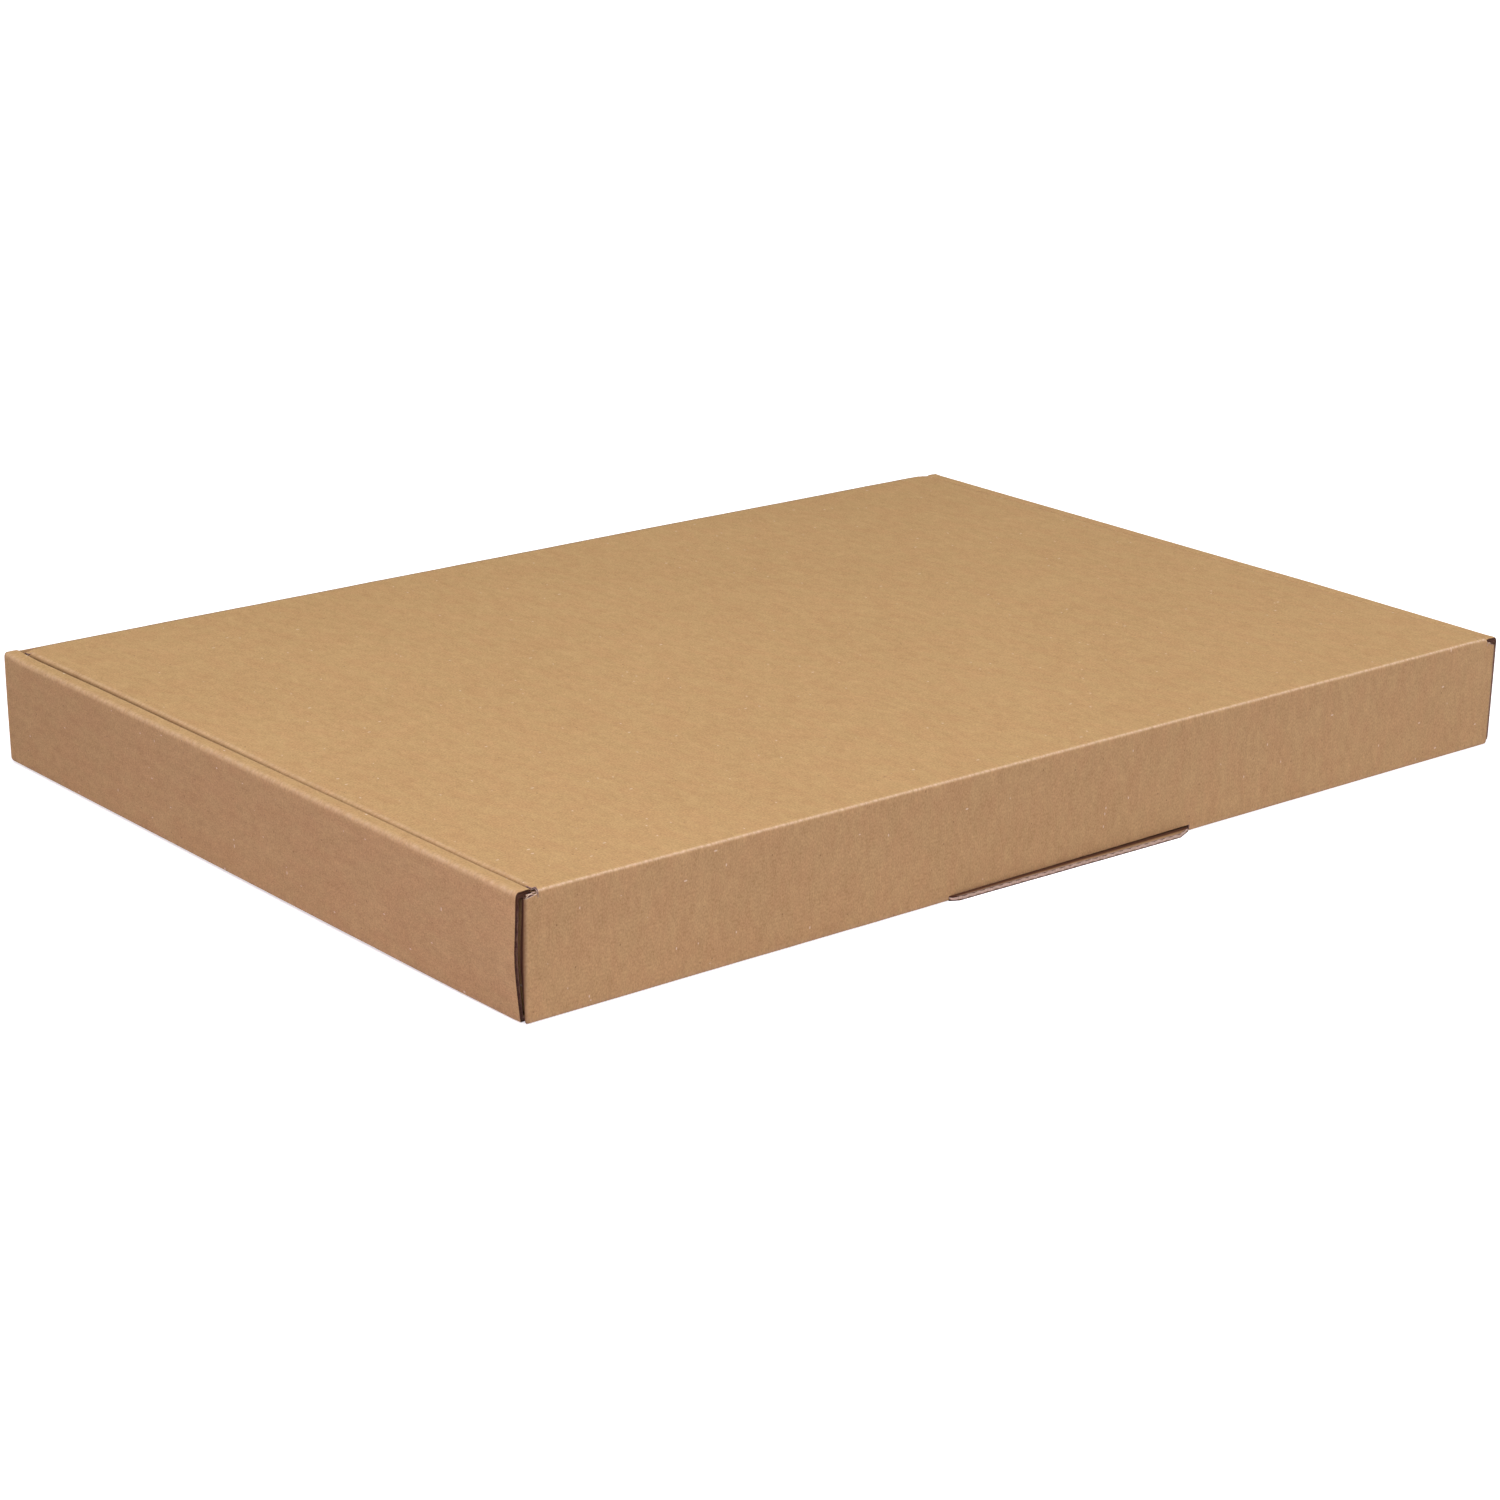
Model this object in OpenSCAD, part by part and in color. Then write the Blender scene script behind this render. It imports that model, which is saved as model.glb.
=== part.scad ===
// Flat postal box folded from one die-cut sheet of thin corrugated board, closed.
// The bottom carries a hinge wall, a front wall and two side walls. Each side wall
// rolls over its own top and comes back down inside, where lock tabs hold it in
// slots in the bottom, and it grips the corner flaps of the two long walls.
// The lid hangs on the hinge wall by a fold. Its side ears and its tuck flap go
// down inside the walls. The flutes run from the hinge wall to the front wall.
//
// X runs along the hinge, Y from the hinge wall to the front wall, Z up. The
// origin is on the floor under the middle of the box. Lengths are millimetres.

/* [Box] */
// Outside width, along the hinge
box_w = 352; // [220:1:450]
// Outside depth, from the hinge wall to the front wall
box_d = 242; // [160:1:330]
// Outside height of the closed box
box_h = 33; // [24:0.5:70]

/* [Board] */
// Thickness of the corrugated board
board_t = 1.4; // [1:0.1:2]
// Inside radius of every fold
fold_r = 0.5; // [0.3:0.05:0.8]

/* [Long walls] */
// How far the ends of the hinge wall stand below the lid's top
end_drop = 1; // [0.5:0.1:2]
// How far the front wall's raw edge stands below the lid's top
front_drop = 0.6; // [0.3:0.1:1.5]
// Length of the corner flap at each end of both long walls
corner_flap_l = 34; // [18:1:60]
// How much each corner flap narrows towards its free end, above and below
corner_flap_taper = 3; // [1:0.5:6]
// Height of the vertical folds' raw lower ends above the floor
corner_lift = 0.3; // [0.1:0.1:0.8]

/* [Side walls] */
// Radius of the rounded lower corner at each end of a side wall
side_corner_r = 3.2; // [3.2:0.1:6]
// Length of one lock tab at the foot of the inner side panel
lock_tab_l = 30; // [18:1:45]
// Distance of each lock tab's middle from the middle of the side wall
lock_tab_y = 66; // [40:1:80]
// How far the corners of a lock tab are cut back
lock_tab_cut = 0.8; // [0.3:0.1:1.2]
// Height of a lock tab's end above the floor
lock_tab_lift = 0.3; // [0.1:0.1:0.6]

/* [Slot at the foot of the hinge wall] */
// Length of the slot along the bottom fold
slot_l = 88; // [50:1:140]
// How far the slot's middle lies to the right of the wall's middle
slot_x = 4; // [-20:0.5:20]
// Height of the open gap between the lip and the wall's raw edge
slot_gap = 0.6; // [0.4:0.1:2]
// How far the lip stands out from the wall at its left end
lip_left_out = 1.2; // [0.5:0.1:3]
// How far the lip stands out from the wall at its right end
lip_right_out = 2.2; // [0.5:0.1:4]
// How far the lip's slanted left end runs in over its outstand
lip_left_slant = 2.4; // [1:0.1:6]
// How far the lip's slanted right end runs in over its outstand
lip_right_slant = 5.2; // [1:0.1:8]

/* [Lid] */
// How far the hinge fold stops short of the lid's sides at either end
hinge_relief = 1.2; // [0.6:0.1:4]
// Height of the side ears below the lid's top
ear_h = 24; // [12:0.5:26]
// How far each ear narrows towards its lower edge at either end
ear_taper = 14; // [4:1:25]
// Distance of each ear's rear end from the hinge wall's outside face
ear_rear_gap = 4; // [3:0.5:12]
// Distance of each ear's front end from the tuck flap
ear_front_gap = 4; // [3:0.5:12]
// Length of the tuck flap below the lid's top
tuck_l = 28; // [14:0.5:29]
// Radius of the tuck flap's free corners
tuck_corner_r = 9; // [4:1:12]
// Angle by which the tuck flap leans in from upright
tuck_lean = 4; // [4:0.5:7]

/* [Clearances] */
// Gap between the side walls' raw ends and the inside faces of the long walls
side_end_clear = 0.2; // [0.1:0.05:1.5]
// Gap between the foot of each vertical fold and the bottom
corner_slit = 0.3; // [0.2:0.05:1]
// Gap on either side of a corner flap inside its rolled side wall
flap_clear = 0.2; // [0.1:0.05:0.4]
// Gap between the lid and the rolled side walls
lid_side_clear = 0.3; // [0.2:0.05:0.6]
// Gap between the tuck flap's fold and the front wall
tuck_clear = 0.4; // [0.3:0.05:0.8]
// Gap all round a lock tab in its slot, and under the inner side panels
lock_clear = 0.2; // [0.1:0.05:0.4]

/* [Hidden] */
$fn = 64;
kraft = [0.72, 0.57, 0.40];
kraft_lid = [0.77, 0.62, 0.43];
hair = 0.01;
fold_out = fold_r + board_t;
// Side wall: outer panel, pocket for a corner flap, inner panel
pocket_w = board_t + 2 * flap_clear;
strip_w = 2 * board_t + pocket_w;
strip_fold_r = min(fold_r, pocket_w / 2 - hair);
strip_fold_out = strip_fold_r + board_t;
side_half_l = box_d / 2 - board_t - side_end_clear;
inner_panel_x = box_w / 2 - strip_w;
// Long walls: they end inside the outer side panels
wall_half_w = box_w / 2 - board_t - flap_clear;
wall_flat_half = wall_half_w - fold_out;
wall_fold_y = box_d / 2 - fold_out;
end_top = box_h - end_drop;
hinge_fold_z = box_h - fold_out;
front_top = box_h - front_drop;
corner_flap_top = box_h - board_t - flap_clear;
corner_flap_foot = board_t + flap_clear;
// Slot and lip
slot_top = board_t + slot_gap;
// Lid
lid_half_w = inner_panel_x - lid_side_clear;
hinge_half_l = lid_half_w - hinge_relief;
ear_fold_x = lid_half_w - fold_out;
tuck_fold_y = box_d / 2 - board_t - tuck_clear - fold_out;
tuck_drop = tuck_l - fold_out;
ear_rear_y = -box_d / 2 + ear_rear_gap;
ear_front_y = tuck_fold_y - ear_front_gap;
lid_flat_z = box_h - board_t;

// Section of a fold about the origin, from angle a0 to angle a1, under 120 degrees apart
module fold_section(r_in, a0, a1) {
    reach = 4 * (r_in + board_t);
    am = (a0 + a1) / 2;
    intersection() {
        difference() {
            circle(r = r_in + board_t);
            circle(r = r_in);
        }
        polygon([
            [0, 0],
            [reach * cos(a0), reach * sin(a0)],
            [reach * cos(am), reach * sin(am)],
            [reach * cos(a1), reach * sin(a1)]
        ]);
    }
}

// A section drawn in Y and Z, run along X from x0 to x1
module along_x(x0, x1) {
    translate([x0, 0, 0])
        rotate([90, 0, 90])
            linear_extrude(height = x1 - x0)
                children();
}

// A section drawn in X and Z, run along Y from y0 to y1
module along_y(y0, y1) {
    translate([0, y1, 0])
        rotate([90, 0, 0])
            linear_extrude(height = y1 - y0)
                children();
}

// Section of a long wall on the -Y side: bottom fold and upright panel
module wall_section(top) {
    translate([-wall_fold_y, fold_out])
        fold_section(fold_r, 180, 270);
    translate([-box_d / 2, fold_out])
        square([board_t, top - fold_out]);
}

// One corner flap at the +X end of the wall on the -Y side, with its vertical fold
module corner_flap() {
    translate([wall_flat_half, -wall_fold_y, corner_lift])
        linear_extrude(height = corner_flap_top - corner_lift)
            fold_section(fold_r, 270, 360);
    along_x(wall_half_w - board_t, wall_half_w)
        polygon([
            [-wall_fold_y, corner_flap_foot],
            [-wall_fold_y + corner_flap_l, corner_flap_foot + corner_flap_taper],
            [-wall_fold_y + corner_flap_l, corner_flap_top - corner_flap_taper],
            [-wall_fold_y, corner_flap_top]
        ]);
}

// Both corner flaps of the wall on the -Y side
module corner_flaps() {
    corner_flap();
    mirror([1, 0, 0])
        corner_flap();
}

// Section of the hinge wall's middle, which ends in the lower half of the hinge fold
module hinge_section() {
    wall_section(hinge_fold_z);
    translate([-wall_fold_y, hinge_fold_z])
        fold_section(fold_r, 135, 180);
}

// Wall that carries the lid
module hinge_wall() {
    difference() {
        union() {
            along_x(-wall_flat_half, wall_flat_half)
                wall_section(hinge_fold_z);
            along_x(-hinge_half_l, hinge_half_l)
                hinge_section();
            wall_end();
            mirror([1, 0, 0])
                wall_end();
        }
        // The slot's cut takes the fold away and leaves the wall a raw lower edge
        translate([slot_x - slot_l / 2, -box_d / 2 - board_t, -board_t])
            cube([slot_l, board_t + 2 * fold_out, board_t + slot_top]);
    }
    corner_flaps();
}

// End of the hinge wall beside the hinge fold, with its raw top edge
module wall_end() {
    end_x = hinge_half_l + lid_side_clear;
    translate([end_x, -box_d / 2, hinge_fold_z])
        cube([wall_flat_half - end_x, board_t, end_top - hinge_fold_z]);
}

// Wall on the open side, with a raw top edge from end to end
module front_wall() {
    mirror([0, 1, 0]) {
        along_x(-wall_flat_half, wall_flat_half)
            wall_section(end_top);
        along_x(-lid_half_w, lid_half_w)
            translate([-box_d / 2, fold_out])
                square([board_t, front_top - fold_out]);
        corner_flaps();
    }
}

// Lip of the bottom that stays flat under the slot and stands out a little
module slot_lip() {
    left_x = slot_x - slot_l / 2 + lock_clear;
    right_x = slot_x + slot_l / 2 - lock_clear;
    linear_extrude(height = board_t)
        polygon([
            [left_x, -wall_fold_y + hair],
            [left_x, -box_d / 2],
            [left_x + lip_left_slant, -box_d / 2 - lip_left_out],
            [right_x - lip_right_slant, -box_d / 2 - lip_right_out],
            [right_x, -box_d / 2],
            [right_x, -wall_fold_y + hair]
        ]);
}

// Opening for one lock tab of the side wall on the +X side, through the bottom
module lock_slot(y) {
    translate([inner_panel_x - lock_clear, y - lock_tab_l / 2 - lock_clear, -board_t])
        cube([board_t + 2 * lock_clear, lock_tab_l + 2 * lock_clear, 3 * board_t]);
}

// One lock tab of the side wall on the +X side
module lock_tab(y) {
    along_x(inner_panel_x, inner_panel_x + board_t)
        translate([y, 0])
            polygon([
                [-lock_tab_l / 2, board_t + lock_clear + hair],
                [-lock_tab_l / 2, lock_tab_lift + lock_tab_cut],
                [-lock_tab_l / 2 + lock_tab_cut, lock_tab_lift],
                [lock_tab_l / 2 - lock_tab_cut, lock_tab_lift],
                [lock_tab_l / 2, lock_tab_lift + lock_tab_cut],
                [lock_tab_l / 2, board_t + lock_clear + hair]
            ]);
}

// Section of the side wall on the +X side: outer panel, top strip and inner panel
module side_section() {
    top_fold_z = box_h - strip_fold_out;
    translate([box_w / 2 - fold_out, fold_out])
        fold_section(fold_r, 270, 360);
    translate([box_w / 2 - board_t, fold_out])
        square([board_t, top_fold_z - fold_out]);
    translate([box_w / 2 - strip_fold_out, top_fold_z])
        fold_section(strip_fold_r, 0, 90);
    translate([inner_panel_x + strip_fold_out - hair, box_h - board_t])
        square([strip_w - 2 * strip_fold_out + 2 * hair, board_t]);
    translate([inner_panel_x + strip_fold_out, top_fold_z])
        fold_section(strip_fold_r, 90, 180);
    translate([inner_panel_x, board_t + lock_clear])
        square([board_t, top_fold_z - board_t - lock_clear]);
}

// Rounded cut at one lower corner of the outer side panel, at the -Y end
module side_corner_cut() {
    translate([0, -side_half_l - hair, -hair])
        along_x(box_w / 2 - fold_out, box_w / 2 + hair)
            difference() {
                square(side_corner_r);
                translate([side_corner_r, side_corner_r])
                    circle(r = side_corner_r);
            }
}

// Rolled side wall on the +X side with its lock tabs
module side_wall() {
    difference() {
        along_y(-side_half_l, side_half_l)
            side_section();
        side_corner_cut();
        mirror([0, 1, 0])
            side_corner_cut();
    }
    lock_tab(-lock_tab_y);
    lock_tab(lock_tab_y);
}

// Bottom panel with the slots for the lock tabs
module bottom_panel() {
    flat_x = box_w / 2 - fold_out + hair;
    foot_half_l = wall_fold_y - corner_slit;
    difference() {
        union() {
            translate([-flat_x, -foot_half_l, 0])
                cube([2 * flat_x, 2 * foot_half_l, board_t]);
            translate([-wall_flat_half, -wall_fold_y, 0])
                cube([2 * wall_flat_half, 2 * wall_fold_y, board_t]);
        }
        for (side = [0, 1])
            mirror([side, 0, 0]) {
                lock_slot(-lock_tab_y);
                lock_slot(lock_tab_y);
            }
    }
    slot_lip();
}

// Everything of the sheet but the lid
module tray() {
    color(kraft)
        union() {
            bottom_panel();
            hinge_wall();
            front_wall();
            side_wall();
            mirror([1, 0, 0])
                side_wall();
        }
}

// Section of the tuck flap: the fold from the lid and the flat flap below it
module tuck_section() {
    fold_section(fold_r, -tuck_lean, 90);
    rotate(-tuck_lean)
        translate([fold_r, -tuck_drop])
            square([board_t, tuck_drop]);
}

// What rounds off the tuck flap's free corner at the +X end
module tuck_corner_cut() {
    rotate([-tuck_lean, 0, 0])
        translate([lid_half_w - tuck_corner_r, 2 * fold_out, tuck_corner_r - tuck_drop])
            rotate([90, 0, 0])
                linear_extrude(height = 3 * fold_out)
                    difference() {
                        translate([0, -2 * tuck_corner_r])
                            square(2 * tuck_corner_r);
                        circle(r = tuck_corner_r);
                    }
}

// Tuck flap, leaning in so that it swings clear of the front wall
module tuck_flap() {
    translate([0, tuck_fold_y, box_h - fold_out])
        difference() {
            along_x(-lid_half_w, lid_half_w)
                tuck_section();
            tuck_corner_cut();
            mirror([1, 0, 0])
                tuck_corner_cut();
        }
}

// Side ear of the lid on the +X side, with its fold
module ear() {
    along_y(ear_rear_y, ear_front_y)
        translate([ear_fold_x, box_h - fold_out])
            fold_section(fold_r, 0, 90);
    along_x(lid_half_w - board_t, lid_half_w)
        polygon([
            [ear_rear_y, box_h - fold_out],
            [ear_rear_y + ear_taper, box_h - ear_h],
            [ear_front_y - ear_taper, box_h - ear_h],
            [ear_front_y, box_h - fold_out]
        ]);
}

// Flat panel of the lid: full width at its two ends, and between the ears' folds
module lid_panel() {
    translate([-ear_fold_x, -wall_fold_y, lid_flat_z])
        cube([2 * ear_fold_x, wall_fold_y + tuck_fold_y, board_t]);
    translate([-lid_half_w, -wall_fold_y, lid_flat_z])
        cube([2 * lid_half_w, ear_rear_y + wall_fold_y, board_t]);
    translate([-lid_half_w, ear_front_y, lid_flat_z])
        cube([2 * lid_half_w, tuck_fold_y - ear_front_y, board_t]);
}

// Lid with the upper half of the hinge fold, its two ears and the tuck flap
module lid() {
    color(kraft_lid)
        union() {
            lid_panel();
            along_x(-hinge_half_l, hinge_half_l)
                translate([-wall_fold_y, box_h - fold_out])
                    fold_section(fold_r, 90, 135);
            ear();
            mirror([1, 0, 0])
                ear();
            tuck_flap();
        }
}

tray();
lid();
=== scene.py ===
import math
import bpy
import bmesh
from mathutils import Matrix, Vector, noise
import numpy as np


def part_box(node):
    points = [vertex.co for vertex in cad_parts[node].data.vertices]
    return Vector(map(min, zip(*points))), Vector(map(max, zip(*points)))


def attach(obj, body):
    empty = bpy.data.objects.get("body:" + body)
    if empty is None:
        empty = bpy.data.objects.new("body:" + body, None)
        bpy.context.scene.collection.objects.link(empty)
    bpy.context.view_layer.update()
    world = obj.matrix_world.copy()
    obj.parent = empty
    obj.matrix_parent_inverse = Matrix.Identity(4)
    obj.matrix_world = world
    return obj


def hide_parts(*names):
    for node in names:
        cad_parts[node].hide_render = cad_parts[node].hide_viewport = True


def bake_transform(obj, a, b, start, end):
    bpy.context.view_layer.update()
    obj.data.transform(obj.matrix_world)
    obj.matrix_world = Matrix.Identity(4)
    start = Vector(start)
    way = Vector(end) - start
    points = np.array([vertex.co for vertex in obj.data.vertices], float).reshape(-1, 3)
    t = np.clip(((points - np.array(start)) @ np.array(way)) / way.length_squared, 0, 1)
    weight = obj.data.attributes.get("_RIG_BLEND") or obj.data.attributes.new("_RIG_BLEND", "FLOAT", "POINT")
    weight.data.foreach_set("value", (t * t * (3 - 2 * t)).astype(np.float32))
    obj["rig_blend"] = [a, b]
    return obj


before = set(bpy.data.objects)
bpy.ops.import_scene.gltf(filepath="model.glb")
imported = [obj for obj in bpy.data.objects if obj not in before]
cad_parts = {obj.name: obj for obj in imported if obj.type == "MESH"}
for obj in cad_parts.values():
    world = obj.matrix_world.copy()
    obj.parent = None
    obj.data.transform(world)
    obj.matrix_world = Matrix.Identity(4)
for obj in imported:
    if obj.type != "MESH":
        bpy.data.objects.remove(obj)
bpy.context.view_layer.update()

# Camera, at the photograph's place: it looks down on the near corner of the box
# with a long lens. The image is square and nothing is shifted.
eye = bpy.data.cameras.new("photo_camera")
eye.sensor_fit = "HORIZONTAL"
eye.sensor_width = 36
eye.lens = 84.9206
eye.clip_start = 0.05
eye.clip_end = 20
camera = bpy.data.objects.new("photo_camera", eye)
bpy.context.scene.collection.objects.link(camera)
camera_axes = Matrix((
    (0.767880, 0.188897, -0.612110),
    (-0.640365, 0.251907, -0.725587),
    (0.017134, 0.949137, 0.314398),
)).to_4x4()
camera.matrix_world = Matrix.Translation((-0.6230285, -0.7321642, 0.3189176)) @ camera_axes
bpy.context.scene.camera = camera
bpy.context.scene.view_settings.view_transform = "Standard"

# Studio: a pale floor under a white sky, one wide soft lamp overhead and two soft
# fills, so that the lid is brightest and the short side is darkest. Behind the
# box the floor fades into a lit white backdrop.
floor_mesh = bpy.data.meshes.new("floor")
bm = bmesh.new()
bmesh.ops.create_grid(bm, x_segments=1, y_segments=1, size=6)
bm.to_mesh(floor_mesh)
bm.free()
floor = bpy.data.objects.new("floor", floor_mesh)
bpy.context.scene.collection.objects.link(floor)
floor_paint = bpy.data.materials.new("pale_floor")
floor_paint.use_nodes = True
shader = floor_paint.node_tree.nodes["Principled BSDF"]
shader.inputs["Base Color"].default_value = (0.73, 0.72, 0.73, 1)
shader.inputs["Roughness"].default_value = 0.9
shader.inputs["Specular IOR Level"].default_value = 0.1
place = floor_paint.node_tree.nodes.new("ShaderNodeTexCoord")
behind = floor_paint.node_tree.nodes.new("ShaderNodeVectorMath")
behind.operation = "DOT_PRODUCT"
behind.inputs[1].default_value = (0.645, 0.764, 0)
glow = floor_paint.node_tree.nodes.new("ShaderNodeMapRange")
glow.inputs["From Min"].default_value = -0.4
glow.inputs["From Max"].default_value = 0.5
glow.inputs["To Min"].default_value = 0.5
glow.inputs["To Max"].default_value = 1.0
floor_view = floor_paint.node_tree.nodes.new("ShaderNodeLightPath")
backdrop = floor_paint.node_tree.nodes.new("ShaderNodeMath")
backdrop.operation = "MULTIPLY"
shader.inputs["Emission Color"].default_value = (1, 1, 1, 1)
floor_paint.node_tree.links.new(place.outputs["Object"], behind.inputs[0])
floor_paint.node_tree.links.new(behind.outputs["Value"], glow.inputs["Value"])
floor_paint.node_tree.links.new(glow.outputs[0], backdrop.inputs[0])
floor_paint.node_tree.links.new(floor_view.outputs["Is Camera Ray"], backdrop.inputs[1])
floor_paint.node_tree.links.new(backdrop.outputs[0], shader.inputs["Emission Strength"])
floor.data.materials.append(floor_paint)

sky = bpy.data.worlds.new("white_sky")
sky.use_nodes = True
sky_light = sky.node_tree.nodes["Background"]
sky_light.inputs["Color"].default_value = (1, 1, 1, 1)
seen = sky.node_tree.nodes.new("ShaderNodeLightPath")
strength = sky.node_tree.nodes.new("ShaderNodeMapRange")
strength.inputs["To Min"].default_value = 0.14
strength.inputs["To Max"].default_value = 1.0
sky.node_tree.links.new(seen.outputs["Is Camera Ray"], strength.inputs["Value"])
sky.node_tree.links.new(strength.outputs[0], sky_light.inputs["Strength"])
bpy.context.scene.world = sky


def soft_lamp(name, spot, size, power, colour):
    lamp = bpy.data.lights.new(name, "AREA")
    lamp.shape = "DISK"
    lamp.size = size
    lamp.energy = power
    lamp.color = colour
    holder = bpy.data.objects.new(name, lamp)
    bpy.context.scene.collection.objects.link(holder)
    holder.location = spot
    aim = Vector((0, 0, 0)) - Vector(spot)
    holder.rotation_euler = aim.to_track_quat("-Z", "Y").to_euler()


soft_lamp("overhead", (-0.42, -0.34, 1.25), 1.1, 16.9, (1, 0.985, 0.94))
soft_lamp("front_fill", (1.0, -0.5, 0.35), 0.7, 5.1, (0.92, 0.81, 1))
soft_lamp("left_fill", (-1.0, -0.55, 0.45), 0.6, 2.6, (0.76, 0.36, 1))

# Bottom of the folded sheet: two kraft liners glued to a fluted paper, whose flutes
# run from the hinge wall to the front wall. It has slots for the lock tabs and a lip
# under the hinge wall. All sheets are drawn in millimetres, and close_board scales them.
tray_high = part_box("tray")[1]
half_w = 1000 * tray_high.x
half_d = 1000 * tray_high.y
box_h = 1000 * tray_high.z
board_t = 1.4
fit = 0.2
fold_outer = 1.9
fold_inner = fold_outer - board_t
fold_length = 1.885
fold_y = half_d - fold_outer
wall_end_x = half_w - board_t - fit
wall_fold_x = wall_end_x - fold_outer
side_fold_x = half_w - fold_outer
side_end_y = half_d - board_t - fit
inner_panel_x = half_w - 3 * board_t - 2 * fit
tab_half_l = 15
tab_y = 66
slot_left = -40
slot_right = 48
lip_left_out = 1.2
lip_left_slant = 2.4
lip_right_out = 2.2
lip_right_slant = 5.2
lip_room = 4.1
liner_t = 0.25
medium_t = 0.2
outer_liner = 0.14
flute_middle = 0.7
inner_liner = 1.26
flute_pitch = 3.1
flute_half = 0.36
knife = 0.0005
across_x = Vector((1, 0, 0))
across_y = Vector((0, 1, 0))
LAYERS = (
    (outer_liner, 4.0, 6.0, liner_t),
    (flute_middle, flute_pitch / 8, 30.0, medium_t),
    (inner_liner, 4.0, 6.0, liner_t),
)


def ramp(value, start, end):
    return min(max((value - start) / (end - start), 0), 1)


# A sheet is one paper layer of the board: "blank" is each point's place on the flat
# sheet, "crease" is wear with a painted highlight on fold crests, "shade" is painted shade in creases and
# gaps, and "swell" is how far it is opened up.
def open_sheet():
    bm = bmesh.new()
    bm.verts.layers.float_vector.new("blank")
    bm.verts.layers.float_vector.new("up")
    bm.verts.layers.float.new("crease")
    bm.verts.layers.float.new("shade")
    bm.verts.layers.float.new("swell")
    return bm


def first_line(bm, a, b, flat_a, flat_b, spacing):
    blank = bm.verts.layers.float_vector["blank"]
    ends = [bm.verts.new(a), bm.verts.new(b)]
    ends[0][blank] = flat_a
    ends[1][blank] = flat_b
    edge = bm.edges.new(ends)
    cuts = round((ends[1].co - ends[0].co).length / spacing) - 1
    bmesh.ops.subdivide_edges(bm, edges=[edge], cuts=max(cuts, 1))
    return bm.edges[:]


def next_row(bm, edges):
    new = bmesh.ops.extrude_edge_only(bm, edges=edges)["geom"]
    verts = [g for g in new if isinstance(g, bmesh.types.BMVert)]
    fresh = set(verts)
    rows = [g for g in new if isinstance(g, bmesh.types.BMEdge) and fresh.issuperset(g.verts)]
    return verts, rows


# Rows of faces along a panel, with a narrow one at each end, next to the folds.
def rows_of(length, spacing):
    near = min(0.8, length / 4)
    count = max(1, round((length - 2 * near) / spacing))
    return [near] + [(length - 2 * near) / count] * count + [near]


def run_flat(bm, edges, way, flat_way, rows):
    blank = bm.verts.layers.float_vector["blank"]
    crease = bm.verts.layers.float["crease"]
    shade = bm.verts.layers.float["shade"]
    for step in rows:
        verts, edges = next_row(bm, edges)
        bmesh.ops.translate(bm, verts=verts, vec=Vector(way) * step)
        for vert in verts:
            vert[blank] = vert[blank] + Vector(flat_way) * step
            vert[crease] = 0
            vert[shade] = 0
    return edges


# A fold turns the last row about its centre line. It is worn lighter round its crest, which also serves as a
# painted highlight, may carry painted shade towards its end, where it turns into a crevice, and a higher
# "square" makes it crisper.
def run_fold(bm, edges, centre, axis, degrees, flat_way, steps=8, wear_and_highlight=0.5, square=4,
             crest=0.5, spread=0.4, dark=0, dark_from=0.5):
    blank = bm.verts.layers.float_vector["blank"]
    crease = bm.verts.layers.float["crease"]
    shade = bm.verts.layers.float["shade"]
    centre = Vector(centre)
    axis = Vector(axis)
    turn = Matrix.Rotation(math.radians(degrees / steps), 3, axis)
    length = fold_length * abs(degrees) / 90
    bent = []
    for k in range(steps):
        verts, edges = next_row(bm, edges)
        bmesh.ops.rotate(bm, verts=verts, cent=centre, matrix=turn)
        share = (k + 1) / steps
        for vert in verts:
            vert[blank] = vert[blank] + Vector(flat_way) * (length / steps)
            vert[crease] = wear_and_highlight * max(0, 1 - abs(share - crest) / spread)
            vert[shade] = dark * ramp(share, dark_from, dark_from + 0.4)
            bent.append((vert, math.radians(90 * share)))
    for vert, angle in bent:
        arm = vert.co - centre
        arm -= axis * arm.dot(axis)
        squarer = (math.cos(angle) ** square + math.sin(angle) ** square) ** (-1 / square) - 1
        vert.co += arm * squarer * max(0, arm.length - fold_inner) / board_t
    return edges


def edge_lines(bm, test):
    return [e for e in bm.edges if e.is_boundary and all(test(v.co) for v in e.verts)]


def score(bm, way, places):
    for place in places:
        geom = bm.verts[:] + bm.edges[:] + bm.faces[:]
        bmesh.ops.bisect_plane(bm, geom=geom, dist=knife, plane_co=way * place, plane_no=way)


def trim(bm, test, spot, normal):
    faces = [f for f in bm.faces if test(f.calc_center_median())]
    edges = {e for f in faces for e in f.edges}
    verts = {v for f in faces for v in f.verts}
    bmesh.ops.bisect_plane(bm, geom=list(verts) + list(edges) + faces, dist=knife,
                           plane_co=spot, plane_no=normal, clear_outer=True)


def cut_out(bm, test):
    faces = [f for f in bm.faces if test(f.calc_center_median())]
    bmesh.ops.delete(bm, geom=faces, context="FACES")


# Gives the sheet its thickness and returns the faces of its raw edges.
def thicken(bm, thickness):
    bm.normal_update()
    up = bm.verts.layers.float_vector["up"]
    for vert in bm.verts:
        vert[up] = vert.normal
    sheet_faces = bm.faces[:]
    sheet_verts = bm.verts[:]
    new = bmesh.ops.extrude_face_region(bm, geom=sheet_faces, use_keep_orig=True)["geom"]
    lifted = [g for g in new if isinstance(g, bmesh.types.BMVert)]
    inner_faces = [g for g in new if isinstance(g, bmesh.types.BMFace)]
    swell = bm.verts.layers.float["swell"]
    for verts, part in ((sheet_verts, thickness / 2), (lifted, -thickness / 2)):
        for vert in verts:
            vert.co += vert[up] * part * (1 + vert[swell])
    return set(bm.faces) - set(sheet_faces) - set(inner_faces)
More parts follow.
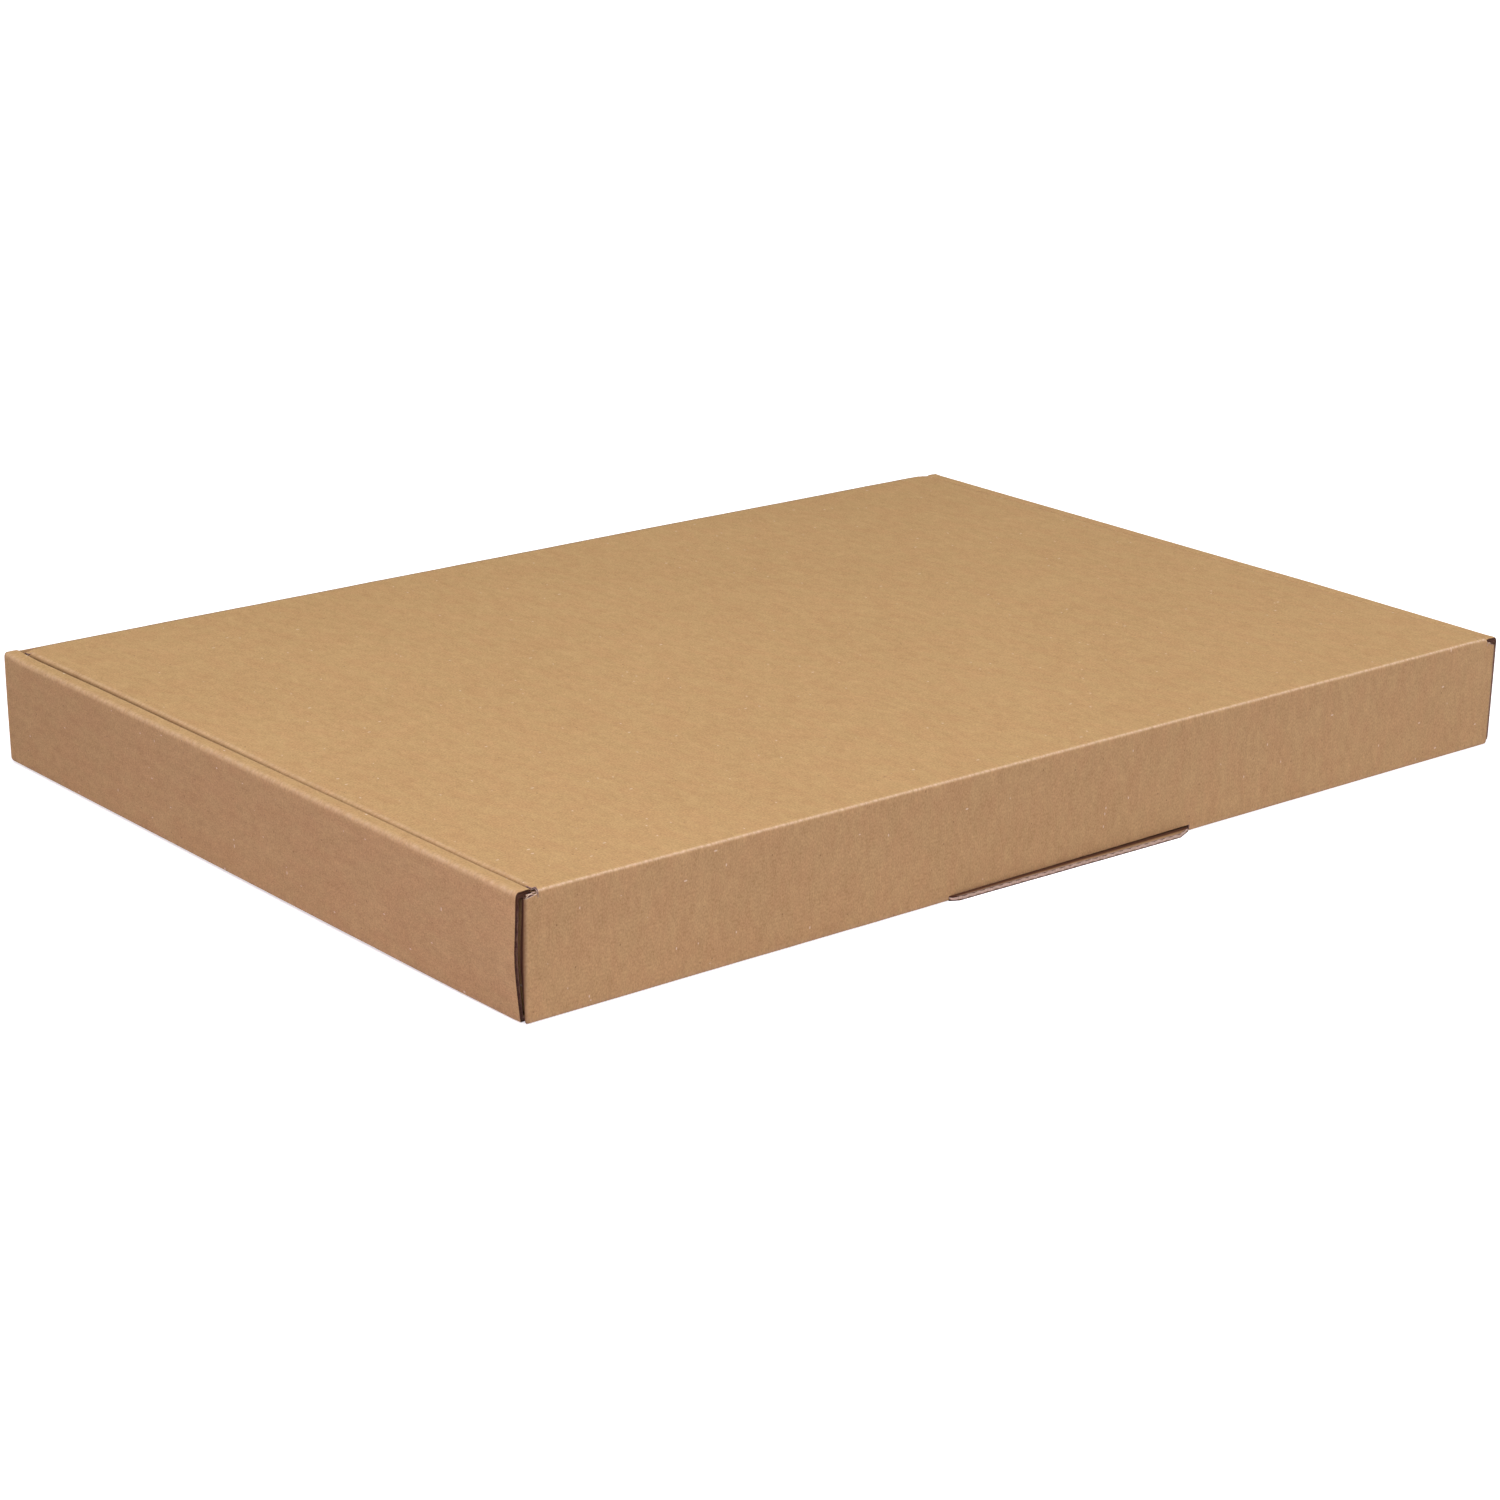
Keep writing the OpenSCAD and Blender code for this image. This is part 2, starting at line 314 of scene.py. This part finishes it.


# Kraft paper: a warm brown with cloudy fibre, fine grain, faint streaks along the
# flutes, a few pale and dark fibres, folds that are worn lighter with a painted highlight, and painted shade
# where the shade attribute is set.
kraft = bpy.data.node_groups.new("kraft_paper", "ShaderNodeTree")
kraft.interface.new_socket("Dark", in_out="INPUT", socket_type="NodeSocketColor")
kraft.interface.new_socket("Light", in_out="INPUT", socket_type="NodeSocketColor")
kraft.interface.new_socket("Color", in_out="OUTPUT", socket_type="NodeSocketColor")
kraft.interface.new_socket("Roughness", in_out="OUTPUT", socket_type="NodeSocketFloat")
kraft.interface.new_socket("Height", in_out="OUTPUT", socket_type="NodeSocketFloat")
given = kraft.nodes.new("NodeGroupInput")
result = kraft.nodes.new("NodeGroupOutput")
link = kraft.links.new
flat_place = kraft.nodes.new("ShaderNodeAttribute")
flat_place.attribute_name = "blank"
fold_wear_highlight = kraft.nodes.new("ShaderNodeAttribute")
fold_wear_highlight.attribute_name = "crease"
painted_shade_mask = kraft.nodes.new("ShaderNodeAttribute")
painted_shade_mask.attribute_name = "shade"


def stretched(stretch):
    spread = kraft.nodes.new("ShaderNodeVectorMath")
    spread.operation = "MULTIPLY"
    spread.inputs[1].default_value = stretch
    link(flat_place.outputs["Vector"], spread.inputs[0])
    return spread.outputs[0]


def fibre_noise(stretch, scale, detail, roughness):
    cloud = kraft.nodes.new("ShaderNodeTexNoise")
    cloud.inputs["Scale"].default_value = scale
    cloud.inputs["Detail"].default_value = detail
    cloud.inputs["Roughness"].default_value = roughness
    link(stretched(stretch), cloud.inputs["Vector"])
    return cloud.outputs["Fac"]


def worked(operation, value, amount=None):
    step = kraft.nodes.new("ShaderNodeMath")
    step.operation = operation
    link(value, step.inputs[0])
    if isinstance(amount, bpy.types.NodeSocket):
        link(amount, step.inputs[1])
    elif amount is not None:
        step.inputs[1].default_value = amount
    return step.outputs[0]


def spread_out(value, from_min, from_max, to_min=0, to_max=1):
    step = kraft.nodes.new("ShaderNodeMapRange")
    step.inputs["From Min"].default_value = from_min
    step.inputs["From Max"].default_value = from_max
    step.inputs["To Min"].default_value = to_min
    step.inputs["To Max"].default_value = to_max
    link(value, step.inputs["Value"])
    return step.outputs[0]


def weigh(first, second, amount):
    step = kraft.nodes.new("ShaderNodeMath")
    step.operation = "MULTIPLY_ADD"
    step.inputs[1].default_value = amount
    link(first, step.inputs[0])
    link(second, step.inputs[2])
    return step.outputs[0]


def speck(stretch, scale, size, share):
    cells = kraft.nodes.new("ShaderNodeTexVoronoi")
    cells.inputs["Scale"].default_value = scale
    link(stretched(stretch), cells.inputs["Vector"])
    pick = kraft.nodes.new("ShaderNodeSeparateColor")
    link(cells.outputs["Color"], pick.inputs[0])
    close = worked("LESS_THAN", cells.outputs["Distance"], size)
    return worked("MULTIPLY", close, worked("LESS_THAN", pick.outputs[0], share))


def mix_colour(amount, first, second, strength=None, blend="MIX"):
    mixer = kraft.nodes.new("ShaderNodeMix")
    mixer.data_type = "RGBA"
    mixer.blend_type = blend
    if strength is not None:
        amount = worked("MULTIPLY", amount, strength)
    link(amount, mixer.inputs[0])
    for source, socket in ((first, mixer.inputs[6]), (second, mixer.inputs[7])):
        if isinstance(source, tuple):
            socket.default_value = source
        else:
            link(source, socket)
    return mixer.outputs[2]


broad = fibre_noise((1, 1, 1), 0.02, 2, 0.5)
cloudy = fibre_noise((1, 0.5, 1), 0.62, 5, 0.7)
grain = fibre_noise((1, 0.65, 1), 2.4, 3, 0.6)
streaks = fibre_noise((1, 0.05, 1), 0.55, 2, 0.5)
mottle = fibre_noise((1, 0.45, 1), 0.26, 3, 0.6)
base = kraft.nodes.new("ShaderNodeValue")
base.outputs[0].default_value = -1.35
tone = weigh(broad, base.outputs[0], 0.2)
tone = weigh(mottle, tone, 0.5)
tone = weigh(cloudy, tone, 1.0)
tone = weigh(grain, tone, 1.9)
tone = weigh(streaks, tone, 0.1)
colour = mix_colour(tone, given.outputs["Dark"], given.outputs["Light"])
rosy_tint = (1, 0.91, 0.93, 1)
pale_fibre = (0.85, 0.72, 0.56, 1)
dark_fibre = (0.18, 0.09, 0.05, 1)
worn_fold_highlight = (0.78, 0.60, 0.40, 1)
painted_shade_colour = (0.085, 0.032, 0.014, 1)
rosy = spread_out(fibre_noise((1, 0.45, 1), 0.17, 4, 0.62), 0.42, 0.60)
colour = mix_colour(rosy, colour, rosy_tint, 0.45, "MULTIPLY")
colour = mix_colour(speck((1, 0.45, 1), 0.34, 0.06, 0.45), colour, pale_fibre, 0.65)
colour = mix_colour(speck((0.45, 1, 1), 0.24, 0.055, 0.35), colour, pale_fibre, 0.6)
colour = mix_colour(speck((1, 0.8, 1), 0.32, 0.065, 0.4), colour, dark_fibre, 0.55)
# Folds are worn lighter in blotches, and the same pale colour on their crests is also a painted highlight.
blotch = spread_out(fibre_noise((1, 1, 1), 0.9, 4, 0.7), 0.40, 0.62, to_min=0.25)
wear_highlight_spots = worked("MULTIPLY", blotch, fold_wear_highlight.outputs["Fac"])
colour = mix_colour(wear_highlight_spots, colour, worn_fold_highlight, 0.85)
# Painted shade: where the shade attribute is set, in creases, gaps and under the hinge wall, the colour goes
# towards a deep brown.
colour = mix_colour(painted_shade_mask.outputs["Fac"], colour, painted_shade_colour)
link(colour, result.inputs["Color"])
link(spread_out(cloudy, 0, 1, 0.72, 0.92), result.inputs["Roughness"])
split = kraft.nodes.new("ShaderNodeSeparateXYZ")
link(flat_place.outputs["Vector"], split.inputs[0])
ripple = worked("COSINE", worked("MULTIPLY", split.outputs["X"], 2 * math.pi / flute_pitch))
height = weigh(grain, worked("MULTIPLY", ripple, 0.12), 0.35)
height = weigh(cloudy, height, 0.5)
link(height, result.inputs["Height"])


def kraft_material(name, dark, light, bump):
    paper = bpy.data.materials.new(name)
    paper.use_nodes = True
    tree = paper.node_tree
    shader = tree.nodes["Principled BSDF"]
    shader.inputs["Specular IOR Level"].default_value = 0.22
    pattern = tree.nodes.new("ShaderNodeGroup")
    pattern.node_tree = kraft
    pattern.inputs["Dark"].default_value = dark
    pattern.inputs["Light"].default_value = light
    relief = tree.nodes.new("ShaderNodeBump")
    relief.inputs["Strength"].default_value = bump
    relief.inputs["Distance"].default_value = 0.0001
    tree.links.new(pattern.outputs["Color"], shader.inputs["Base Color"])
    tree.links.new(pattern.outputs["Roughness"], shader.inputs["Roughness"])
    tree.links.new(pattern.outputs["Height"], relief.inputs["Height"])
    tree.links.new(relief.outputs["Normal"], shader.inputs["Normal"])
    return paper


PAPERS = (
    kraft_material("kraft_outside", (0.42, 0.260, 0.110, 1), (0.63, 0.420, 0.196, 1), 0.8),
    kraft_material("kraft_inside", (0.40, 0.250, 0.112, 1), (0.59, 0.395, 0.190, 1), 0.8),
    kraft_material("kraft_flutes", (0.16, 0.085, 0.064, 1), (0.27, 0.150, 0.118, 1), 0.5),
    kraft_material("kraft_cut_edge", (0.48, 0.350, 0.250, 1), (0.74, 0.580, 0.450, 1), 0.8),
    # A dark copy of the raw-edge paper: painted shade for raw edges that lie in shadow.
    kraft_material("kraft_painted_shade_edge", (0.050, 0.022, 0.012, 1), (0.13, 0.064, 0.042, 1), 0.8),
)
outside_paper, inside_paper, fluted_paper, cut_paper, painted_shade_edge_paper = range(len(PAPERS))


# How the closed box sits: the side walls lean out towards the top and are crushed
# at their raw ends, the corner flaps' folds are pressed flat behind the long walls,
# the top is a little low at two corners, and the lid's left edge is rounded off.
def settle(co):
    x, y, z = co
    side = math.copysign(1, x)
    out = abs(x)
    height = z / box_h
    high = ramp(z, 20, 32)
    inside = 1 - ramp(abs(y), 119.2, half_d)
    # Thin board is never quite flat: the top and the hinge wall wave a little.
    wide = noise.noise(Vector((x / 55, y / 55, z / 55)))
    small = noise.noise(Vector((x / 9, y / 14, z / 14)))
    co.z -= high * (0.08 + 0.09 * wide + 0.05 * small)
    co.y += ramp(-y, 112, half_d) * (0.16 + 0.10 * wide + 0.09 * small)
    # The side walls lean, and the left one bows at its near end.
    near = ramp(-y, 40, 118)
    lean = (0.7 if side < 0 else 0.25) * (1 - height) ** 1.5
    if side < 0:
        bowed = 1.9 * max(0, 1 - 2 * height) ** 1.3 + 0.55 * ramp(height, 0.55, 1)
        lean += near * near * (bowed - lean)
    co.x -= side * ramp(out, 158, wall_end_x) * inside * lean
    # Their raw ends are crushed, and the corner flaps' folds are pressed flat.
    crushed = 0.32 * ramp(abs(y), 116.5, side_end_y)
    if out > wall_end_x + 0.1:
        fixed = half_w - lean - (board_t / 2 if side < 0 and y < 0 else 0)
        co.x = side * (fixed + (abs(co.x) - fixed) * (1 - crushed))
    elif out > wall_end_x - board_t - 0.05 and abs(y) > 108:
        pressed = ramp(abs(y), 108, 117) * inside * (0.4 + 0.6 * height)
        co.x -= side * pressed * (out - wall_end_x + board_t) / board_t
    co.x -= 0.6 * ramp(x, wall_fold_x - 4, wall_end_x) * (1 - inside)
    # The top is low at the hinge wall's corners, on the right and at the far left,
    # and the left wall's foot is lifted a little.
    corner = ramp(out, wall_fold_x - 3, wall_end_x) * ramp(-y, 119, 120.5) * ramp(z, 24, 32)
    co.z -= 0.9 * corner
    co.z -= ramp(x, 168, 171.4) * high * (0.45 + 0.55 * ramp(-y, 50, 119))
    co.z += 0.6 * ramp(-x, 145, 172) * (1 - ramp(z, 0, 14)) * ramp(y, -119, -60)
    raised = ramp(-x, 171.2, 171.4) * ramp(y, 108, 119)
    co.z -= 0.55 * high * ramp(-x, -40, 170) * ramp(y, 60, half_d) * (1 - raised)
    co.z -= 0.35 * high * ramp(-x, 171.2, 171.4) * ramp(y, -90, 40)
    # The lid's left ear is pulled in and its edge is rounded off.
    if z > 8 and -171.3 < x < -150 and abs(y) < 119.3:
        co.x += ramp(-x, 160, 169) * (0.85 * ramp(y, -115, 20) + 0.35 * ramp(y, 60, 118))
        co.z -= 0.75 * high * ramp(-x, 164, 171.1) ** 2 * ramp(y, -115, -20)
    # The front wall's raw top edge is pinched.
    if y > 119.5:
        middle = half_d - board_t / 2
        co.y = middle + (y - middle) * (1 - 0.45 * ramp(z, 31, 32.4))
    co.z = max(co.z, 0)


# Makes one board of a panel: two liners with the fluted paper between them. "raw"
# gives the paper of each layer's raw edge, and "flutes" that of the fluted one.
def close_board(name, body, sheet, half_turn=False, raw=(cut_paper,) * 3, flutes=fluted_paper):
    whole = open_sheet()
    faces_of = (outside_paper, flutes, inside_paper)
    for place, (depth, across, along, thickness) in enumerate(LAYERS):
        bm = sheet(depth, across, along)
        bmesh.ops.remove_doubles(bm, verts=bm.verts[:], dist=0.002)
        bmesh.ops.recalc_face_normals(bm, faces=bm.faces[:])
        if depth == flute_middle:
            blank = bm.verts.layers.float_vector["blank"]
            bm.normal_update()
            swell = bm.verts.layers.float["swell"]
            for vert in bm.verts:
                wave = flute_half * math.cos(2 * math.pi * vert[blank].x / flute_pitch)
                vert.co += vert.normal * wave / (1 + vert[swell])
        rim = thicken(bm, thickness)
        for edge in {edge for face in rim for edge in face.edges}:
            edge.smooth = False
        for face in bm.faces:
            face.smooth = face not in rim
            face.material_index = raw[place] if face in rim else faces_of[place]
        bmesh.ops.recalc_face_normals(bm, faces=bm.faces[:])
        layer = bpy.data.meshes.new(name + "_layer")
        bm.to_mesh(layer)
        bm.free()
        whole.from_mesh(layer)
        bpy.data.meshes.remove(layer)
    if half_turn:
        about = Matrix.Rotation(math.pi, 4, "Z")
        bmesh.ops.transform(whole, matrix=about, verts=whole.verts[:])
        blank = whole.verts.layers.float_vector["blank"]
        for vert in whole.verts:
            vert[blank] = about @ vert[blank]
    for vert in whole.verts:
        settle(vert.co)
    bmesh.ops.scale(whole, vec=(0.001, 0.001, 0.001), verts=whole.verts[:])
    mesh = bpy.data.meshes.new(name)
    whole.to_mesh(mesh)
    whole.free()
    board = bpy.data.objects.new(name, mesh)
    bpy.context.scene.collection.objects.link(board)
    for paper in PAPERS:
        mesh.materials.append(paper)
    if body:
        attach(board, body)
    return board


def bottom_sheet(depth, across, along):
    bm = open_sheet()
    width = 2 * side_fold_x
    length = 2 * fold_y + lip_room
    middle = Matrix.Translation((0, -lip_room / 2, depth))
    bmesh.ops.create_grid(bm, x_segments=round(width / across), y_segments=round(length / along),
                          size=0.5, matrix=middle @ Matrix.Diagonal((width, length, 1, 1)))
    foot_y = fold_y - 0.3
    slot_in = inner_panel_x - fit
    slot_out = inner_panel_x + board_t + fit
    slot_half_l = tab_half_l + fit
    lip_left = slot_left + fit
    lip_right = slot_right - fit
    score(bm, across_y, (-fold_y, -foot_y, foot_y))
    for y in (-tab_y, tab_y):
        score(bm, across_y, (y - slot_half_l, y + slot_half_l))
    for x in (slot_in, wall_fold_x, slot_out):
        score(bm, across_x, (x, -x))
    score(bm, across_x, (lip_left, lip_right))
    cut_out(bm, lambda c: abs(c.x) > wall_fold_x and abs(c.y) > foot_y)
    cut_out(bm, lambda c: not lip_left < c.x < lip_right and c.y < -fold_y)
    cut_out(bm, lambda c: slot_in < abs(c.x) < slot_out
            and abs(abs(c.y) - tab_y) < slot_half_l)
    left = Vector((lip_left, -half_d, 0))
    left_tip = left + Vector((lip_left_slant, -lip_left_out, 0))
    right = Vector((lip_right, -half_d, 0))
    right_tip = right + Vector((-lip_right_slant, -lip_right_out, 0))
    for start, stop in ((left, left_tip), (left_tip, right_tip), (right_tip, right)):
        way = stop - start
        trim(bm, lambda c: c.y < -fold_y, start, (way.y, -way.x, 0))
    score(bm, across_y, (-half_d - 0.1, -half_d - 0.7, -half_d - 1.4))
    blank = bm.verts.layers.float_vector["blank"]
    shade = bm.verts.layers.float["shade"]
    swell = bm.verts.layers.float["swell"]
    for vert in bm.verts:
        vert[blank] = (vert.co.x, vert.co.y, 0)
        vert[shade] = 0
        if depth == flute_middle:
            vert[swell] = 2.6 * ramp(-vert.co.y, half_d - 0.5, half_d + 0.7)
        # Painted shade: the lip's top under the hinge wall is dark, and lighter towards its edge.
        if vert.co.y < -fold_y and depth == inner_liner:
            vert[shade] = 1 - 0.6 * ramp(-vert.co.y, half_d + 0.7, half_d + 1.6)
    return bm


# The bottom's outer liner shows its raw edge in the painted-shade paper, a dark line under the lip.
bottom = close_board("bottom", "tray", bottom_sheet, raw=(painted_shade_edge_paper, cut_paper, cut_paper))

# Hinge wall: the long wall that carries the lid. It folds up from the bottom, its
# ends fold round into corner flaps, and the slot leaves it a raw lower edge.
lid_side_x = inner_panel_x - 0.3
hinge_end_x = lid_side_x - 1.2
wall_ends_top = box_h - 1
front_wall_top = box_h - 0.6
slot_top = 1.46
slot_top_slope = 0.0055
corner_flap_l = 34
flap_foot = 2.3


def long_wall_sheet(depth, across, along, slotted):
    bm = open_sheet()
    top = box_h - fold_outer
    edges = first_line(bm, (-wall_fold_x, -fold_y, depth), (wall_fold_x, -fold_y, depth),
                       (-wall_fold_x, -fold_y, 0), (wall_fold_x, -fold_y, 0), across)
    edges = run_fold(bm, edges, (0, -fold_y, fold_outer), (1, 0, 0), -90, (0, -1, 0), wear_and_highlight=0.3,
                     square=8)
    run_flat(bm, edges, (0, 0, 1), (0, -1, 0), rows_of(top - fold_outer, along))
    end_x = hinge_end_x + 0.3 if slotted else lid_side_x
    score(bm, across_x, (-end_x, slot_left, slot_right, end_x))
    ends = edge_lines(bm, lambda c: c.z > top - 0.01 and abs(c.x) > end_x - 0.01)
    run_flat(bm, ends, (0, 0, 1), (0, -1, 0), [wall_ends_top - top])
    if slotted:
        trim(bm, lambda c: slot_left < c.x < slot_right, (slot_left, 0, slot_top),
             (slot_top_slope, 0, -1))
    else:
        middle = edge_lines(bm, lambda c: abs(c.z - top) < 0.01 and abs(c.x) < end_x + 0.01)
        run_flat(bm, middle, (0, 0, 1), (0, -1, 0), [front_wall_top - top])
    for side in (-1, 1):
        edges = edge_lines(bm, lambda c: side * c.x > wall_fold_x - 0.01)
        # The corner folds carry painted shade on their inner half, where they turn into the gap behind the
        # side walls.
        edges = run_fold(bm, edges, (side * wall_fold_x, -fold_y, 0), (0, 0, 1), side * 90,
                         (side, 0, 0), wear_and_highlight=0.2, square=5, crest=0.3, spread=0.2, dark=0.97,
                         dark_from=0.2)
        flap = [e for e in edges if all(2.2 < v.co.z < top + 0.1 for v in e.verts)]
        run_flat(bm, flap, (0, 1, 0), (side, 0, 0), rows_of(corner_flap_l, along))

    def in_flap(c):
        return abs(c.x) > wall_fold_x + 0.1 and c.y > -fold_y + 0.1

    trim(bm, in_flap, (0, -fold_y, top), (0, 0.09, 1))
    trim(bm, in_flap, (0, -fold_y, flap_foot), (0, 0.07, -1))
    return bm


close_board("hinge_wall", "tray",
            lambda depth, across, along: long_wall_sheet(depth, across, along, True))

# Front wall: the wall on the open side, folded like the hinge wall, but with a raw
# top edge, which the closed lid covers, and no slot. Its corner flaps are the same.
close_board("front_wall", "tray",
            lambda depth, across, along: long_wall_sheet(depth, across, along, False),
            half_turn=True, raw=(outside_paper,) * 3, flutes=outside_paper)

# Side walls: each folds up, rolls over its own top and comes down again inside,
# round the corner flaps, and two lock tabs at its foot sit in the bottom's slots.
tab_depth = 1.3
foot_corner_r = 1.4
raw_end_rows = (116.2, 117.0, 117.8, 118.6, 119.2)


def side_wall_sheet(depth, across, along):
    bm = open_sheet()
    inner_fold_x = inner_panel_x + fold_outer
    top = box_h - fold_outer
    edges = first_line(bm, (-side_fold_x, -side_end_y, depth), (-side_fold_x, side_end_y, depth),
                       (-side_fold_x, -side_end_y, 0), (-side_fold_x, side_end_y, 0), along)
    for y in (-tab_y, tab_y):
        score(bm, across_y, (y - tab_half_l, y + tab_half_l))
    for y in raw_end_rows:
        score(bm, across_y, (y, -y))
    edges = bm.edges[:]
    rows = rows_of(top - fold_outer, across)
    edges = run_fold(bm, edges, (-side_fold_x, 0, fold_outer), (0, 1, 0), 90, (-1, 0, 0), wear_and_highlight=0.2,
                     square=8)
    edges = run_flat(bm, edges, (0, 0, 1), (-1, 0, 0), rows)
    edges = run_fold(bm, edges, (-side_fold_x, 0, top), (0, 1, 0), 90, (-1, 0, 0), square=3)
    strip = side_fold_x - inner_fold_x
    edges = run_flat(bm, edges, (1, 0, 0), (-1, 0, 0), [strip / 2, strip / 2])
    # The inner fold of the roll carries painted shade, in the crevice by the lid's ear.
    edges = run_fold(bm, edges, (-inner_fold_x, 0, top), (0, 1, 0), 90, (-1, 0, 0), wear_and_highlight=0.1,
                     square=9, dark=0.8)
    edges = run_flat(bm, edges, (0, 0, -1), (-1, 0, 0), rows_of(top - board_t - fit, across))
    tabs = [e for e in edges if all(abs(abs(v.co.y) - tab_y) < tab_half_l + 0.1 for v in e.verts)]
    run_flat(bm, tabs, (0, 0, -1), (-1, 0, 0), [0.5, tab_depth - 0.5])
    swell = bm.verts.layers.float["swell"]
    shade = bm.verts.layers.float["shade"]
    for vert in bm.verts:
        if depth == flute_middle:
            vert[swell] = 1.8 * ramp(abs(vert.co.y), 117.8, 119)
        # Painted shade: the raw ends are darkened near the top, in the recess under the lid's corners.
        if abs(vert.co.y) > side_end_y - 0.05:
            vert[shade] = 0.9 * ramp(vert.co.z, 28, 30.5)
    for side in (-1, 1):
        centre = Vector((0, side * (side_end_y - foot_corner_r), foot_corner_r))
        for a in range(15, 90, 15):
            out = Vector((0, side * math.cos(math.radians(a)), -math.sin(math.radians(a))))
            trim(bm, lambda c: c.x < -side_fold_x + 0.01 and c.z < 5,
                 centre + out * foot_corner_r, out)
    return bm


# The left wall's raw ends and flutes use the painted-shade paper, as they lie in shadow at the near corner;
# the right wall's are lighter.
close_board("side_wall_left", "tray", side_wall_sheet, flutes=painted_shade_edge_paper,
            raw=(painted_shade_edge_paper, painted_shade_edge_paper, fluted_paper))
close_board("side_wall_right", "tray", side_wall_sheet, half_turn=True,
            raw=(fluted_paper,) * 3)
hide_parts("tray")

# Lid: one panel with an ear folded down at each short side and a tuck flap folded
# down at the front, whose free corners are rounded.
ear_fold_x = lid_side_x - fold_outer
tuck_fold_y = half_d - board_t - 0.4 - fold_outer
ear_rear_y = -half_d + 4
ear_front_y = tuck_fold_y - 0.6
ear_l = 22.1
ear_slant = 14
tuck_l = 26.1
tuck_lean = 4
tuck_corner_r = 9
lid_end_rows = (160, 163, 165.5, 167.5)
lid_flat_y = -fold_y - 2 * fold_length - (box_h - 2 * fold_outer)


def lid_sheet(depth, across, along):
    bm = open_sheet()
    top = box_h - fold_outer
    first_line(bm, (-wall_fold_x, -fold_y, box_h - depth), (wall_fold_x, -fold_y, box_h - depth),
               (-wall_fold_x, lid_flat_y, 0), (wall_fold_x, lid_flat_y, 0), across)
    score(bm, across_x, (slot_left, slot_right))
    for side in (-1, 1):
        bmesh.ops.bisect_plane(bm, geom=bm.verts[:] + bm.edges[:], dist=knife, clear_outer=True,
                               plane_co=(side * ear_fold_x, 0, 0), plane_no=(side, 0, 0))
    edges = bm.edges[:]
    rows = [ear_rear_y + fold_y] + rows_of(ear_front_y - ear_rear_y, along)
    edges = run_flat(bm, edges, (0, 1, 0), (0, -1, 0), rows + [tuck_fold_y - ear_front_y])
    for x in lid_end_rows:
        score(bm, across_x, (x, -x))
    for side in (-1, 1):
        ear = edge_lines(bm, lambda c: abs(side * c.x - ear_fold_x) < 0.01
                         and ear_rear_y - 0.1 < c.y < ear_front_y + 0.1)
        # The left ear's edge is worn lighter, partly as a painted highlight, and painted shade darkens it
        # where it turns down into the gap by the side wall.
        ear = run_fold(bm, ear, (side * ear_fold_x, 0, top), (0, 1, 0), side * 90, (side, 0, 0),
                       wear_and_highlight=0.5 if side < 0 else 0, square=3 if side < 0 else 5,
                       crest=0.3, spread=0.25, dark=0.95 if side < 0 else 0, dark_from=0.4)
        run_flat(bm, ear, (0, 0, -1), (side, 0, 0), rows_of(ear_l, across))

    def in_ear(c):
        return abs(c.x) > ear_fold_x + 0.1 and c.z < top - 0.1

    trim(bm, in_ear, (0, ear_rear_y, top), (0, -ear_l, -ear_slant))
    trim(bm, in_ear, (0, ear_front_y, top), (0, ear_l, -ear_slant))
    edges = edge_lines(bm, lambda c: c.y > tuck_fold_y - 0.01)
    edges = run_fold(bm, edges, (0, tuck_fold_y, top), (1, 0, 0), -90 - tuck_lean, (0, -1, 0),
                     wear_and_highlight=0.45, square=7)
    lean = math.radians(tuck_lean)
    down = Vector((0, -math.sin(lean), -math.cos(lean)))
    run_flat(bm, edges, down, (0, -1, 0), rows_of(tuck_l, along))
    for side in (-1, 1):
        square_ends = edge_lines(bm, lambda c: abs(side * c.x - ear_fold_x) < 0.01
                                 and (c.y < ear_rear_y + 0.1 or c.y > ear_front_y - 0.1))
        run_flat(bm, square_ends, (side, 0, 0), (side, 0, 0), [0.9, 1.0])
        centre = Vector((side * (lid_side_x - tuck_corner_r), tuck_fold_y + fold_outer, top))
        centre += down * (tuck_l - tuck_corner_r)
        for a in range(15, 90, 15):
            out = side * across_x * math.cos(math.radians(a)) + down * math.sin(math.radians(a))
            trim(bm, lambda c: c.y > 112 and c.z < 20, centre + out * tuck_corner_r, out)
    return bm


lid_panel = close_board("lid_panel", "lid", lid_sheet)
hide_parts("lid")

# Hinge fold: the crease between the hinge wall and the lid. It is one strip of the
# board, and it bends with the lid.


def hinge_fold_sheet(depth, across, along):
    bm = open_sheet()
    top = box_h - fold_outer
    start_y = -fold_y - fold_length - (top - fold_outer)
    edge_y = -half_d + depth
    edges = first_line(bm, (-wall_fold_x, edge_y, top), (wall_fold_x, edge_y, top),
                       (-wall_fold_x, start_y, 0), (wall_fold_x, start_y, 0), across)
    # The crest is worn lighter, and most of that pale line is a painted highlight.
    run_fold(bm, edges, (0, -fold_y, top), (1, 0, 0), -90, (0, -1, 0), steps=20, wear_and_highlight=1.2,
             square=5, spread=0.14)
    score(bm, across_x, (slot_left, slot_right, hinge_end_x, -hinge_end_x))
    cut_out(bm, lambda c: abs(c.x) > hinge_end_x)
    return bm


hinge_fold = close_board("hinge_fold", None, hinge_fold_sheet)
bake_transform(hinge_fold, "tray", "lid", start=(0, -0.1206935, 0.0321935), end=(0, -0.1201935, 0.0326935))
